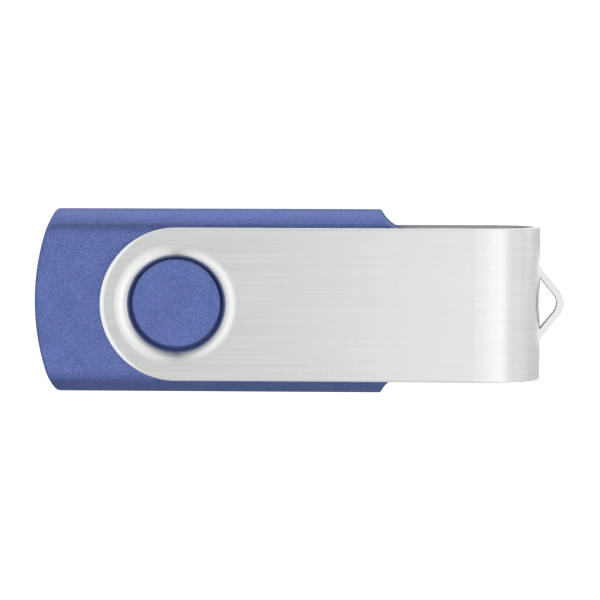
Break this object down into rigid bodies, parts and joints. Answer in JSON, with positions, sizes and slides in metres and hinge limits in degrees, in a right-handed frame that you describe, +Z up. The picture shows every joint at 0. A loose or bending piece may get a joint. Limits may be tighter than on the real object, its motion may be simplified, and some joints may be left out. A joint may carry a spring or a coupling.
{
  "type": "usb flash drive",
  "caption": "Swivel USB flash drive: blue moulded housing with a USB-A plug, and a U-shaped brushed aluminium cover that turns about a boss and ends in a lanyard loop.",
  "frame": {"origin": "under the middle of the object's box, on the surface it lies on", "axes": "+X runs from the housing's rear end to the lanyard loop, +Y across the width, +Z up through the thickness and along the swivel axis"},
  "size_m": [0.0558, 0.0194, 0.01],
  "materials": {
    "cover_sheet": "fine lengthwise brushing, clear anodised",
    "housing_blue": "satin blue with fine metallic flake",
    "plug_plate": "bright nickel plate on folded steel",
    "plug_plastic": "moulded, fine grain",
    "contact_gold": "gold flash on copper alloy",
    "board": "green solder mask on glass laminate",
    "chip_black": "moulded epoxy",
    "tin": "bright tin",
    "ceramic": "fired ceramic",
    "lid_metal": "seam-welded lid",
    "capacitor": "fired ceramic",
    "resistor": "glazed film on ceramic",
    "led_base": "moulded",
    "led_lens": "clear epoxy"
  },
  "bodies": {
    "housing": {"upper_housing": "housing_blue", "lower_housing": "housing_blue", "plug_shell": "plug_plate", "plug_insulator": "plug_plastic", "contact_vbus": "contact_gold", "contact_data_minus": "contact_gold", "contact_data_plus": "contact_gold", "contact_ground": "contact_gold", "circuit_board": "board", "memory_chip": "chip_black", "memory_chip_leads": "tin", "controller_chip": "chip_black", "controller_chip_leads": "tin", "crystal_base": "ceramic", "crystal_lid": "lid_metal", "capacitor_bodies": "capacitor", "capacitor_end_caps": "tin", "resistor_bodies": "resistor", "resistor_end_caps": "tin", "status_led_base": "led_base", "status_led_lens": "led_lens", "solder_joints": "tin"},
    "cover": {"swivel_cover": "cover_sheet"}
  },
  "joints": [
    {"name": "cover_swivel", "type": "hinge", "parent": "housing", "child": "cover", "pos_m": [-0.01289, -0.00016, 0.005], "axis": [0, 0, 1], "continuous": true}
  ]
}
